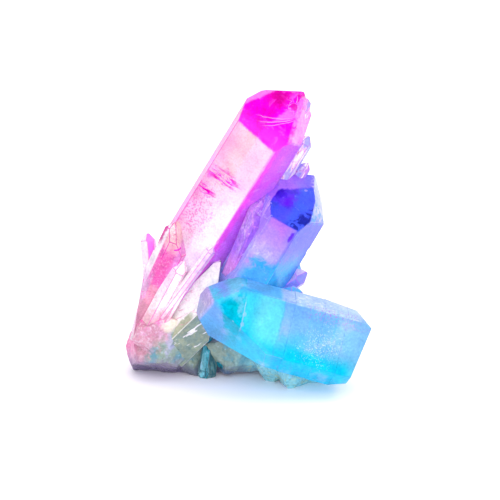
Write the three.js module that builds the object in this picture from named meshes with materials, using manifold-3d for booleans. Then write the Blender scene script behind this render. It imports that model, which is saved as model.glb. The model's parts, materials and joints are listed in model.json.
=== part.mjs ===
// A hand-sized cluster of aura quartz: three large points, a fan of small ones and the matrix they grew on.
// Millimetres, +Z up. The cluster stands on the flats of its matrix, with its front towards -Y.
import * as THREE from "three";
import { mergeVertices } from "three/addons/utils/BufferGeometryUtils.js";
import Module from "manifold-3d";

const wasm = await Module();
wasm.setup();

// Quartz grows six-sided: each tip face stands over one prism face and slopes this far from the long axis.
const SIDES = 6;
const SIDE_TURN = 360 / SIDES;
const TIP_SLOPE = 38.2;

// Directions in the cluster's frame.
const FRONT = new THREE.Vector3(0, -1, 0);
const UP = new THREE.Vector3(0, 0, 1);

// The sprigs' faces are all a little unequal: their reach and their tip's height, as shares of the mean.
const SPRIG_REACH = [1, 0.88, 1.08, 0.95, 1.1, 0.92];
const SPRIG_TIP = [0.93, 1, 1.06, 1.02, 1.1, 0.97];

// The lumps: how finely each is meshed, how many flats it is broken to, and how far its surface is uneven.
const LUMP_SPLITS = 4;
const LUMP_FLATS = 18;
const LUMP_FLAT_REACH = [0.58, 0.86];
const LUMP_GRAIN = 0.035;

const degrees = THREE.MathUtils.degToRad;
const vector = (numbers) => new THREE.Vector3(...numbers);

// Each point: root is a place on its axis, turn spins its faces about the axis. prism is the reach from the
// axis to the front face and then to the next five, going round by the right. tips are
// [face, height where it meets the axis, slope, extra turn]. tiers are [height below which the prism is
// fatter, by how much]. breaks cut it by planes [place, outward].
const POINTS = {
  main: {
    root: [-13.9, -1.8, 13.7],
    axis: [0.503, -0.125, 0.855],
    turn: -19.9,
    buried: 9,
    prism: [4.2, 5.4, 5.2, 5.0, 3.5, 5.5],
    tips: [
      [0, 38.3, 38.7, 4.3],
      [1, 41.2, 39.1],
      [2, 43.4, 47.6, 1],
      [3, 44.6, 34.9, 16.4],
      [4, 44.4, 30.5, 5.6],
    ],
    tiers: [],
    breaks: [
      [[-17.7, -1.8, 14.8], [-0.967, 0.065, 0.245]],
      [[2.9, 0, 47.6], [0.045, 0.18, 0.98]],
    ],
  },
  violet: {
    root: [-0.5, -5.9, 14.1],
    axis: [0.493, -0.035, 0.869],
    turn: -0.3,
    buried: 5,
    prism: [4.9, 3.4, 5.4, 5.0, 5.0, 6.0],
    tips: [
      [0, 20.1, 46.1],
      [0, 20.4, 60.7, -24],
      [1, 21.8, 35, 1.3],
      [1, 21.4, 43.4, 18],
      [3, 29.1, 30.6, 25.7],
      [4, 27.3, 34.7, 6.6],
      [5, 25, 36.2, 1.6],
    ],
    tiers: [[2.2, 0.25]],
    breaks: [],
  },
  rose: {
    root: [-17.8, -4.4, 11.2],
    axis: [0.41, -0.17, 0.9],
    turn: 8,
    buried: 4,
    prism: [2.3, 2.4, 2.4, 2.2, 2.3, 2.4],
    tips: [
      [0, 17.5],
      [1, 15.8],
      [2, 17.2],
      [3, 18.2],
      [4, 18.8],
      [5, 19.2],
    ],
    tiers: [[11.2, 0.1]],
    breaks: [[[-18.3, -4, 12.8], [-0.985, 0.04, 0.17]]],
  },
  shade: {
    root: [-5, -7.2, 11.5],
    axis: [0.365, -0.06, 0.929],
    turn: 12,
    buried: 3,
    prism: [2.1, 2.2, 2.4, 2, 2, 2.1],
    tips: [
      [0, 20.5, 30],
      [1, 22.5],
      [2, 24],
      [3, 24],
      [4, 22.5],
      [5, 21.5],
    ],
    tiers: [],
    breaks: [],
  },
  aqua: {
    root: [15.3, -11.9, 7.2],
    axis: [-0.956, -0.069, 0.286],
    turn: 22.2,
    buried: 6,
    prism: [4.3, 6.1, 5.6, 5.6, 5.0, 6.2],
    tips: [
      [0, 38.4, 11.8],
      [1, 27.4, 36.1, -6.9],
      [2, 31.1, 31.1, -13],
      [2, 23.7, 99.9, 35.2],
      [4, 26.1, 45.9, 7.1],
      [5, 23.7, 29.6, -4.9],
    ],
    tiers: [
      [10.2, 0.1],
      [5.2, 0.18],
      [1.4, 0.26],
    ],
    breaks: [
      [[19.3, -12, 10.6], [0.9, 0, -0.43]],
      [[17.6, -8, 12.3], [0.77, 0.14, 0.62]],
      [[8.2, -8, 15.9], [0.34, 0.25, 0.9]],
      [[10, -15, 1.7], [0.1, -0.25, -1]],
    ],
  },
  ledger: {
    root: [-9.2, -4.6, 10.2],
    axis: [0.66, -0.2, 0.72],
    turn: 20,
    buried: 7,
    prism: [4.2, 4.4, 4.6, 4.4, 4.2, 4.3],
    tips: [
      [5, 15],
      [4, 15.5],
      [3, 16],
    ],
    tiers: [],
    breaks: [[[-4.9, -6, 14.8], [0.98, 0, -0.15]]],
  },
  rear: {
    root: [-5, 4.5, 6],
    axis: [-0.28, 0.45, 0.85],
    turn: 10,
    buried: 4,
    prism: [3.2, 3.4, 3.1, 3.6, 3, 3.3],
    tips: [
      [0, 15.5],
      [1, 14.5],
      [2, 13.5],
      [3, 12.8],
      [4, 14],
      [5, 16],
    ],
    tiers: [[5, 0.2]],
    breaks: [],
  },
};

// The sprigs: small points from a foot to a tip, with the mean reach of their faces and a turn.
const SPRIGS = {
  bud: { foot: [-16.2, -3.2, 14.9], tip: [-17, -0.2, 23.9], reach: 1.15, turn: 20 },
  quill: { foot: [-16.4, -7.2, 9.8], tip: [-10.5, -8, 21.2], reach: 1.4, turn: 10 },
  needle: { foot: [-14.5, -8.3, 11.2], tip: [-5.6, -8.6, 23.7], reach: 0.75, turn: 0 },
  splinter: { foot: [-14.6, -7.9, 9.4], tip: [-10.2, -8.4, 17.4], reach: 0.7, turn: 25 },
  flank: { foot: [4, -4.6, 31.5], tip: [9.9, -2.3, 40.8], reach: 1.2, turn: 5 },
  flake: { foot: [5.4, -4.4, 29.6], tip: [9.8, -2.2, 36.2], reach: 0.9, turn: 30 },
  speck: { foot: [5.8, -4, 28.2], tip: [9.4, -2.6, 33.4], reach: 1, turn: 12 },
  rim: { foot: [8.6, -5.8, 43], tip: [9.2, -5, 47.4], reach: 0.7, turn: 0 },
  thorn: { foot: [4.2, -3.2, 14.2], tip: [9.8, -2.8, 17.6], reach: 1.5, turn: 8 },
  step: { foot: [3, -7.5, 14], tip: [9, -8, 15.4], reach: 1.4, turn: 20 },
  spur: { foot: [-6.2, -2.4, 8.5], tip: [-7.7, -6, -1.5], reach: 1.5, turn: 20 },
  chip: { foot: [-4.6, -3.4, 6], tip: [-4.2, -5.8, 0.6], reach: 1.2, turn: 50 },
  backSpike: { foot: [3, 3, 7], tip: [8.5, 8.5, 17], reach: 1.8, turn: 15 },
  backBud: { foot: [-10, 4, 6], tip: [-15.5, 9, 13], reach: 1.5, turn: 40 },
  backTooth: { foot: [-1, 5, 6], tip: [0.5, 10.5, 14.5], reach: 1.4, turn: 5 },
};

// The matrix: lumps by middle, half sizes and a number that picks each one's own shape. breaks cut a lump
// by planes [place, outward]: the boulder is undercut in front and falls away at its upper left.
const UNDERCUT = [[-16, -5, 1.5], [-0.1, -0.5, -0.85]];
const SHOULDER = [[-18.6, -5, 9.6], [-0.93, -0.1, 0.37]];
const LUMPS = [
  { at: [-15.1, -3.2, 4.6], half: [7.2, 6.8, 7.6], pick: 1, breaks: [UNDERCUT, SHOULDER] },
  { at: [-15.2, -3.2, 11.4], half: [2.8, 4.4, 6.2], pick: 2 },
  { at: [-10.5, -0.4, 3.8], half: [8, 6.6, 7.4], pick: 3 },
  { at: [-2.8, -2.2, 4.2], half: [7.2, 6, 6.6], pick: 4 },
  { at: [3.4, -5.6, 3.6], half: [4.6, 5.2, 5.6], pick: 5 },
  { at: [7.4, -8.6, 2.4], half: [3.6, 4.2, 4], pick: 6 },
  { at: [12, -5.9, 2.5], half: [5.4, 4.4, 4.2], pick: 7 },
  { at: [1, 0.2, 5.4], half: [14.5, 8, 8], pick: 8 },
  { at: [-6, 3.6, 5], half: [12, 7.6, 9.2], pick: 9 },
  { at: [-15, -6.4, 8.2], half: [5.4, 3.6, 5], pick: 10, breaks: [UNDERCUT, SHOULDER] },
];

// Turns a three.js geometry into a solid.
function solidOf(geometry) {
  const bare = geometry.index ? geometry.toNonIndexed() : geometry.clone();
  bare.deleteAttribute("normal");
  bare.deleteAttribute("uv");
  const merged = mergeVertices(bare, 1e-4);
  return new wasm.Manifold(
    new wasm.Mesh({
      numProp: 3,
      vertProperties: merged.attributes.position.array,
      triVerts: new Uint32Array(merged.index.array),
    }),
  );
}

// Turns a solid into a three.js geometry with flat faces.
function geometryOf(solid) {
  const mesh = solid.getMesh();
  const places = new Float32Array(mesh.numVert * 3);
  for (let i = 0; i < mesh.numVert; i++) {
    places.set(mesh.vertProperties.subarray(i * mesh.numProp, i * mesh.numProp + 3), i * 3);
  }
  const indexed = new THREE.BufferGeometry();
  indexed.setAttribute("position", new THREE.BufferAttribute(places, 3));
  indexed.setIndex(new THREE.BufferAttribute(mesh.triVerts, 1));
  const flat = indexed.toNonIndexed();
  flat.computeVertexNormals();
  return flat;
}

// Keeps what lies behind a plane, given a place on it and its outward direction.
function cutAway(solid, place, outward) {
  const inward = outward.clone().normalize().negate();
  return solid.trimByPlane(inward.toArray(), inward.dot(place));
}

// The outward direction of a face, across the axis and turned from the front towards the right.
function faceDirection(turn) {
  return new THREE.Vector2(Math.sin(degrees(turn)), -Math.cos(degrees(turn)));
}

// The prism's outline: each corner is where two neighbouring faces meet.
function prismOutline(reaches, turn) {
  const corners = reaches.map((reach, i) => {
    const next = (i + 1) % SIDES;
    const here = faceDirection(turn + SIDE_TURN * i);
    const there = faceDirection(turn + SIDE_TURN * next);
    const across = here.x * there.y - here.y * there.x;
    return new THREE.Vector2(
      (reach * there.y - reaches[next] * here.y) / across,
      (reaches[next] * here.x - reach * there.x) / across,
    );
  });
  return new THREE.Shape(corners);
}

// A point in its own frame: +Z along its axis, its front face towards -Y before the turn.
function pointAlongZ(point) {
  const top = Math.max(...point.tips.map((tip) => tip[1])) * 1.5;
  const prism = (height, growth) => {
    const grown = point.prism.map((reach) => reach + growth);
    const outline = prismOutline(grown, point.turn);
    const depth = height + point.buried;
    const bar = new THREE.ExtrudeGeometry(outline, { depth, bevelEnabled: false, steps: 1 });
    return solidOf(bar.translate(0, 0, -point.buried));
  };
  let solid = prism(top, 0);
  for (const [height, growth] of point.tiers ?? []) solid = solid.add(prism(height, growth));
  for (const [face, height, slope = TIP_SLOPE, extraTurn = 0] of point.tips) {
    const flat = faceDirection(point.turn + SIDE_TURN * face + extraTurn);
    const outward = new THREE.Vector3(flat.x, flat.y, 0)
      .multiplyScalar(Math.cos(degrees(slope)))
      .setZ(Math.sin(degrees(slope)));
    solid = cutAway(solid, new THREE.Vector3(0, 0, height), outward);
  }
  return solid;
}

// Stands a point on its root, along its axis.
function place(point) {
  const axis = vector(point.axis).normalize();
  const front = FRONT.clone().addScaledVector(axis, -FRONT.dot(axis)).normalize();
  const side = new THREE.Vector3().crossVectors(axis, front);
  const frame = new THREE.Matrix4().makeBasis(side, front.clone().negate(), axis);
  frame.setPosition(vector(point.root));
  let solid = pointAlongZ(point).transform(frame.toArray());
  for (const [spot, outward] of point.breaks ?? []) solid = cutAway(solid, vector(spot), vector(outward));
  return solid;
}

// A sprig is a point with the common unequal reaches and tip heights.
function sprig({ foot, tip, reach, turn }) {
  const axis = vector(tip).sub(vector(foot));
  return place({
    root: foot,
    axis: axis.toArray(),
    turn,
    buried: 0,
    prism: SPRIG_REACH.map((share) => share * reach),
    tips: SPRIG_TIP.map((share, face) => [face, axis.length() * 0.97 + (share - 1) * reach * 3]),
  });
}

// A repeatable number from 0 to 1 for each whole-numbered place.
function scatter(x, y, z) {
  const mixed = Math.sin(x * 127.1 + y * 311.7 + z * 74.7) * 43758.5453;
  return mixed - Math.floor(mixed);
}

// A smooth field of values from -1 to 1, one swell per unit of length.
function swell(place) {
  const corner = place.clone().floor();
  const inside = place.clone().sub(corner);
  const ease = (t) => t * t * (3 - 2 * t);
  const weight = { x: ease(inside.x), y: ease(inside.y), z: ease(inside.z) };
  let sum = 0;
  for (let i = 0; i < 8; i++) {
    const step = new THREE.Vector3(i & 1, (i >> 1) & 1, i >> 2);
    const share = ["x", "y", "z"].reduce((s, k) => s * (step[k] ? weight[k] : 1 - weight[k]), 1);
    sum += share * scatter(corner.x + step.x, corner.y + step.y, corner.z + step.z);
  }
  return sum * 2 - 1;
}

// A lump of matrix: a ball broken to flats and roughened, stretched to its half sizes.
function lump({ at, half, pick, breaks = [] }) {
  const ball = mergeVertices(new THREE.IcosahedronGeometry(1, LUMP_SPLITS).deleteAttribute("uv"), 1e-4);
  const places = ball.attributes.position;
  const flats = Array.from({ length: LUMP_FLATS }, (_, i) => {
    const polar = Math.acos(1 - (2 * (i + 0.5)) / LUMP_FLATS);
    const around = i * 2.4 + pick + scatter(i, pick, 1);
    const outward = new THREE.Vector3().setFromSphericalCoords(1, polar, around);
    const [least, most] = LUMP_FLAT_REACH;
    return { outward, reach: least + (most - least) * scatter(i, pick, 2) };
  });
  const spot = new THREE.Vector3();
  for (let i = 0; i < places.count; i++) {
    spot.fromBufferAttribute(places, i).normalize();
    const facing = flats.filter(({ outward }) => outward.dot(spot) > 0.1);
    const radius = Math.min(1, ...facing.map(({ outward, reach }) => reach / outward.dot(spot)));
    const grain = LUMP_GRAIN * swell(spot.clone().multiplyScalar(3.5).addScalar(pick * 5.3));
    spot.multiplyScalar(radius + grain).multiply(vector(half)).add(vector(at));
    places.setXYZ(i, spot.x, spot.y, spot.z);
  }
  let solid = solidOf(ball);
  for (const [spot, outward] of breaks) solid = cutAway(solid, vector(spot), vector(outward));
  return solid;
}

const pieces = [
  ...Object.values(POINTS).map(place),
  ...Object.values(SPRIGS).map(sprig),
  ...LUMPS.map(lump),
];
let cluster = pieces.reduce((joined, piece) => joined.add(piece));
cluster = cutAway(cluster, new THREE.Vector3(), UP.clone().negate());

// Pockets sealed between the pieces are filled: only the outer shell is kept.
const shells = cluster.decompose().sort((one, other) => other.volume() - one.volume());
cluster = shells[0];

// The places above are measured from a point under the cluster's middle: the origin moves to its base centre.
const geometry = geometryOf(cluster);
geometry.computeBoundingBox();
const middle = geometry.boundingBox.getCenter(new THREE.Vector3());
geometry.translate(-middle.x, -middle.y, 0);

const material = new THREE.MeshStandardMaterial({ color: 0xb98ae6, roughness: 0.2, metalness: 0 });
const mesh = new THREE.Mesh(geometry, material);
mesh.name = "quartz_cluster";
const group = new THREE.Group();
group.add(mesh);

export default group;
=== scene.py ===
"""The looks of an aura quartz cluster: coated points, a fan of sprigs and the matrix under them."""

import json
import math

import bmesh
import bpy
from bpy.props import FloatProperty, FloatVectorProperty, PointerProperty
from bpy.types import Operator, Panel, PropertyGroup
from mathutils import Matrix, Vector

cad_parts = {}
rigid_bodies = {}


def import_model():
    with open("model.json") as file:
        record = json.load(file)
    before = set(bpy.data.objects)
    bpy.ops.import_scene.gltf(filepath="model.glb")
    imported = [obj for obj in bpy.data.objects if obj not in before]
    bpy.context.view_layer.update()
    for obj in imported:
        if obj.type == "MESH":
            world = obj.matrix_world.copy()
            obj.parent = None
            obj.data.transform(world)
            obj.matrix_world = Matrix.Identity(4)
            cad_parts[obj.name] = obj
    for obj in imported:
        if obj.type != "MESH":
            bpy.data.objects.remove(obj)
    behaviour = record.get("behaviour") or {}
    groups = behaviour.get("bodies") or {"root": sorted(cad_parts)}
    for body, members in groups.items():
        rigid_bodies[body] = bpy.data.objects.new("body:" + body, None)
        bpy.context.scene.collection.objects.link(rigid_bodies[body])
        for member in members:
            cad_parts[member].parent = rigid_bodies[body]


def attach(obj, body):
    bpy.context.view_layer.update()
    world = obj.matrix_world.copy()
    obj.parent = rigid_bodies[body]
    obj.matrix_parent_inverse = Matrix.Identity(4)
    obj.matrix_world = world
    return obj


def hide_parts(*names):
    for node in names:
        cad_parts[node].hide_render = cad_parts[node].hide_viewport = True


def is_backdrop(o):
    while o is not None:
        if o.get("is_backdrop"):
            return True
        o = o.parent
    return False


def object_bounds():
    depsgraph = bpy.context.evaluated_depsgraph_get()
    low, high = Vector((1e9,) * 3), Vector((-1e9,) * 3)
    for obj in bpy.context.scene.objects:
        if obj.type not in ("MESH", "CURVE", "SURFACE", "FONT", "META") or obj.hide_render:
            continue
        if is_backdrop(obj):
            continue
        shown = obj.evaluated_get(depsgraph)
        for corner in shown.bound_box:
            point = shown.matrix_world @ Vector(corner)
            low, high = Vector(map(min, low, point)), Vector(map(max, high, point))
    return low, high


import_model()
CAD_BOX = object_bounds()

bl_info = {
    "name": "Aura Quartz Cluster",
    "version": (1, 0, 0),
    "blender": (4, 5, 0),
    "location": "View3D > Sidebar > Aura Quartz",
    "description": "Cleaves, coats and stages a cluster of aura quartz",
    "category": "Mesh",
}

NODE = "quartz_cluster"
BODY = "root"

# The tables below are in millimetres, measured from a point under the cluster's middle. BASE_CENTRE is
# where the model's origin lies in them.
MM = 0.001
BASE_CENTRE = Vector((-0.5033, -3.4692, 0))
CAMERA_TARGET = Vector((0, 0, 20.5))
CAMERA_RISE = math.radians(15)

# Quartz grows six-sided: each tip face stands over one prism face, at this slope in degrees.
SIDES = 6
SIDE_TURN = 360 / SIDES
TIP_SLOPE = 38.2

FRONT = Vector((0, -1, 0))
UP = Vector((0, 0, 1))

# A point is cleft out of a bar this many times as wide as its prism and as high as its tip.
BAR_WIDTH = 2
BAR_HEIGHT = 1.5

# How close two corners may lie before a cut joins them, and the least bend that is worn as an edge.
CUT_CLOSE = 1e-4
LEAST_BEND = math.radians(7)

# What a face of the cluster is, as its "facet" number tells the finishes.
TIP = 10
REST = 20
EDGE = 30
CHIP = 40

# Chips are shallow shells out of the edges: the radius of the ball that leaves one, and how much of it
# dips into the edge.
CHIP_RADIUS = (0.5, 1.3)
CHIP_DIP = (0.06, 0.2)
CHIP_SPLITS = 3

# A face this far off its plane's direction, as a cosine, is a worn edge.
OFF_PLANE = 0.9999
SMOOTH_BELOW = math.radians(24)

# The relief of the matrix: each texture, its size in millimetres and its share of the relief.
RELIEF = (("CLOUDS", 2.4, 0.7), ("VORONOI", 3.1, 0.6), ("CLOUDS", 0.6, 0.15))
RELIEF_MIDDLE = 0.62

# Which of FILMS a piece takes, in the order of the cluster's material slots.
MAIN, ROSE, VIOLET, SHADE, AQUA, LEDGER, SPRIG, MATRIX = range(8)

# Each point: root is a place on its axis, and turn spins its faces about the axis. prism is the reach
# from the axis to the front face and then to the next five, going round by the right. tips are (face,
# height where it meets the axis, slope, extra turn). tiers are (height below which the prism is fatter,
# by how much). breaks cut it by planes (place, outward). chips counts the scattered chips on its edges,
# and nicks are chips at a place, each with its outward direction. films name the colours of the prism's
# faces, of the tip faces and of the rest.
POINTS = {
    "main": dict(
        root=(-13.9, -1.8, 13.7),
        axis=(0.503, -0.125, 0.855),
        turn=-19.9,
        buried=9,
        prism=(4.2, 5.4, 5.2, 5.0, 3.5, 5.5),
        tips=(
            (0, 38.3, 38.7, 4.3),
            (1, 41.2, 39.1),
            (2, 43.4, 47.6, 1),
            (3, 44.6, 34.9, 16.4),
            (4, 44.4, 30.5, 5.6),
        ),
        breaks=(((-17.7, -1.8, 14.8), (-0.967, 0.065, 0.245)), ((2.9, 0, 47.6), (0.045, 0.18, 0.98))),
        chips=26,
        nicks=(
            ((8.6, -5.2, 47.6), (0.4, -0.6, 0.9)),
            ((8.9, -5.9, 46.6), (0.7, -0.7, 0.6)),
            ((8.7, -6.2, 45.6), (0.7, -0.8, 0.5)),
            ((7.2, -4.9, 48.1), (0, -0.4, 1)),
            ((8.2, -5.1, 47.9), (0.5, -0.5, 1)),
        ),
        films=("white orchid lilac lilac rose blush", "magenta mauve lilac orchid pink", "blush"),
        finish=MAIN,
    ),
    "violet": dict(
        root=(-0.5, -5.9, 14.1),
        axis=(0.493, -0.035, 0.869),
        turn=-0.3,
        buried=5,
        prism=(4.9, 3.4, 5.4, 5.0, 5.0, 6.0),
        tips=(
            (0, 20.1, 46.1),
            (0, 20.4, 60.7, -24),
            (1, 21.8, 35, 1.3),
            (1, 21.4, 43.4, 18),
            (3, 29.1, 30.6, 25.7),
            (4, 27.3, 34.7, 6.6),
            (5, 25, 36.2, 1.6),
        ),
        tiers=((2.2, 0.25),),
        chips=22,
        films=(
            "lilac periwinkle periwinkle violet violet lilac",
            "indigo lilac ice ice violet violet lilac",
            "violet",
        ),
        finish=VIOLET,
    ),
    "rose": dict(
        root=(-17.8, -4.4, 11.2),
        axis=(0.41, -0.17, 0.9),
        turn=8,
        buried=4,
        prism=(2.3, 2.4, 2.4, 2.2, 2.3, 2.4),
        tips=((0, 17.5), (1, 15.8), (2, 17.2), (3, 18.2), (4, 18.8), (5, 19.2)),
        tiers=((11.2, 0.1),),
        breaks=(((-18.3, -4, 12.8), (-0.985, 0.04, 0.17)),),
        chips=8,
        films=("rose petal mauve pink white white", "cream cream pink pink white white", "rose"),
        finish=ROSE,
    ),
    "shade": dict(
        root=(-5, -7.2, 11.5),
        axis=(0.365, -0.06, 0.929),
        turn=12,
        buried=3,
        prism=(2.1, 2.2, 2.4, 2, 2, 2.1),
        tips=((0, 20.5, 30), (1, 22.5), (2, 24), (3, 24), (4, 22.5), (5, 21.5)),
        films=(
            "lilac violet violet lilac orchid lilac",
            "lilac violet violet lilac lilac lilac",
            "lilac",
        ),
        finish=SHADE,
    ),
    "aqua": dict(
        root=(15.3, -11.9, 7.2),
        axis=(-0.956, -0.069, 0.286),
        turn=22.2,
        buried=6,
        prism=(4.3, 6.1, 5.6, 5.6, 5.0, 6.2),
        tips=(
            (0, 38.4, 11.8),
            (1, 27.4, 36.1, -6.9),
            (2, 31.1, 31.1, -13),
            (2, 23.7, 99.9, 35.2),
            (4, 26.1, 45.9, 7.1),
            (5, 23.7, 29.6, -4.9),
        ),
        tiers=((10.2, 0.1), (5.2, 0.18), (1.4, 0.26)),
        breaks=(
            ((19.3, -12, 10.6), (0.9, 0, -0.43)),
            ((17.6, -8, 12.3), (0.77, 0.14, 0.62)),
            ((8.2, -8, 15.9), (0.34, 0.25, 0.9)),
            ((10, -15, 1.7), (0.1, -0.25, -1)),
        ),
        chips=46,
        films=("turquoise ice ice sky cyan sky", "teal periwinkle ice lavender sky sky", "ice"),
        finish=AQUA,
    ),
    "ledger": dict(
        root=(-9.2, -4.6, 10.2),
        axis=(0.66, -0.2, 0.72),
        turn=20,
        buried=7,
        prism=(4.2, 4.4, 4.6, 4.4, 4.2, 4.3),
        tips=((5, 15), (4, 15.5), (3, 16)),
        breaks=(((-5.6, -6, 14.8), (0.98, 0, -0.15)),),
        chips=12,
        films=("sage sage sage sage sage white", "white white white", "sage"),
        finish=LEDGER,
    ),
    "rear": dict(
        root=(-5, 4.5, 6),
        axis=(-0.28, 0.45, 0.85),
        turn=10,
        buried=4,
        prism=(3.2, 3.4, 3.1, 3.6, 3, 3.3),
        tips=((0, 15.5), (1, 14.5), (2, 13.5), (3, 12.8), (4, 14), (5, 16)),
        tiers=((5, 0.2),),
        films=("lilac mauve mauve lilac pink rose", "lilac mauve mauve lilac pink rose", "mauve"),
        finish=SPRIG,
    ),
}

# The sprigs: small points from a foot to a tip, with the mean reach of their faces, a turn about their
# axis, and the films of their left and right faces. Their tip faces meet the axis at SPRIG_TOP of the
# length, and above or below it as SPRIG_TIP is over or under 1, by SPRIG_SPREAD times the reach.
SPRIG_REACH = (1, 0.88, 1.08, 0.95, 1.1, 0.92)
SPRIG_TIP = (0.93, 1, 1.06, 1.02, 1.1, 0.97)
SPRIG_TOP = 0.97
SPRIG_SPREAD = 3
SPRIGS = {
    "bud": ((-16.2, -3.2, 14.9), (-17, -0.2, 23.9), 1.15, 20, "rosewhite", "bloom"),
    "quill": ((-16.4, -7.2, 9.8), (-10.5, -8, 21.2), 1.4, 10, "rosewhite", "white"),
    "needle": ((-14.5, -8.3, 11.2), (-5.6, -8.6, 23.7), 0.75, 0, "white", "haze_lilac"),
    "splinter": ((-14.6, -7.9, 9.4), (-10.2, -8.4, 17.4), 0.7, 25, "white", "white"),
    "flank": ((4, -4.6, 31.5), (9.9, -2.3, 40.8), 1.2, 5, "white", "haze_lilac"),
    "flake": ((5.4, -4.4, 29.6), (9.8, -2.2, 36.2), 0.9, 30, "lavender", "lilac"),
    "speck": ((5.8, -4, 28.2), (9.4, -2.6, 33.4), 1, 12, "lavender", "periwinkle"),
    "rim": ((8.6, -5.8, 43), (9.2, -5, 47.4), 0.7, 0, "pink", "mauve"),
    "thorn": ((4.2, -3.2, 14.2), (9.8, -2.8, 17.6), 1.5, 8, "lavender", "periwinkle"),
    "step": ((3, -7.5, 14), (9, -8, 15.4), 1.4, 20, "sky", "sky"),
    "spur": ((-6.2, -2.4, 8.5), (-7.7, -6, -1.5), 1.5, 20, "moss_light", "teal"),
    "chip": ((-4.6, -3.4, 6), (-4.2, -5.8, 0.6), 1.2, 50, "teal", "teal"),
    "backSpike": ((3, 3, 7), (8.5, 8.5, 17), 1.8, 15, "periwinkle", "sky"),
    "backBud": ((-10, 4, 6), (-15.5, 9, 13), 1.5, 40, "rose", "pink"),
    "backTooth": ((-1, 5, 6), (0.5, 10.5, 14.5), 1.4, 5, "lilac", "mauve"),
}

# The matrix: lumps by middle, half sizes, a number that picks each one's own flats, and the planes
# (place, outward) that cut it: the undercut below the front of the left lumps, and the shoulder at
# their upper left.
LUMP_SPLITS = 4
LUMP_FLATS = 18
LUMP_FLAT_REACH = (0.58, 0.86)
GOLDEN_TURN = 2.4
UNDERCUT = ((-16, -5, 1.5), (-0.1, -0.5, -0.85))
SHOULDER = ((-18.6, -5, 9.6), (-0.93, -0.1, 0.37))
LUMPS = (
    ((-15.1, -3.2, 4.6), (7.2, 6.8, 7.6), 1, UNDERCUT, SHOULDER),
    ((-15.2, -3.2, 11.4), (2.8, 4.4, 6.2), 2),
    ((-10.5, -0.4, 3.8), (8, 6.6, 7.4), 3),
    ((-2.8, -2.2, 4.2), (7.2, 6, 6.6), 4),
    ((3.4, -5.6, 3.6), (4.6, 5.2, 5.6), 5),
    ((7.4, -8.6, 2.4), (3.6, 4.2, 4), 6),
    ((12, -5.9, 2.5), (5.4, 4.4, 4.2), 7),
    ((1, 0.2, 5.4), (14.5, 8, 8), 8),
    ((-6, 3.6, 5), (12, 7.6, 9.2), 9),
    ((-15, -6.4, 8.2), (5.4, 3.6, 5), 10, UNDERCUT, SHOULDER),
)


def tint(name, description, colour):
    return FloatVectorProperty(
        name=name, description=description, subtype="COLOR", size=3, min=0, max=1, default=colour
    )


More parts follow.
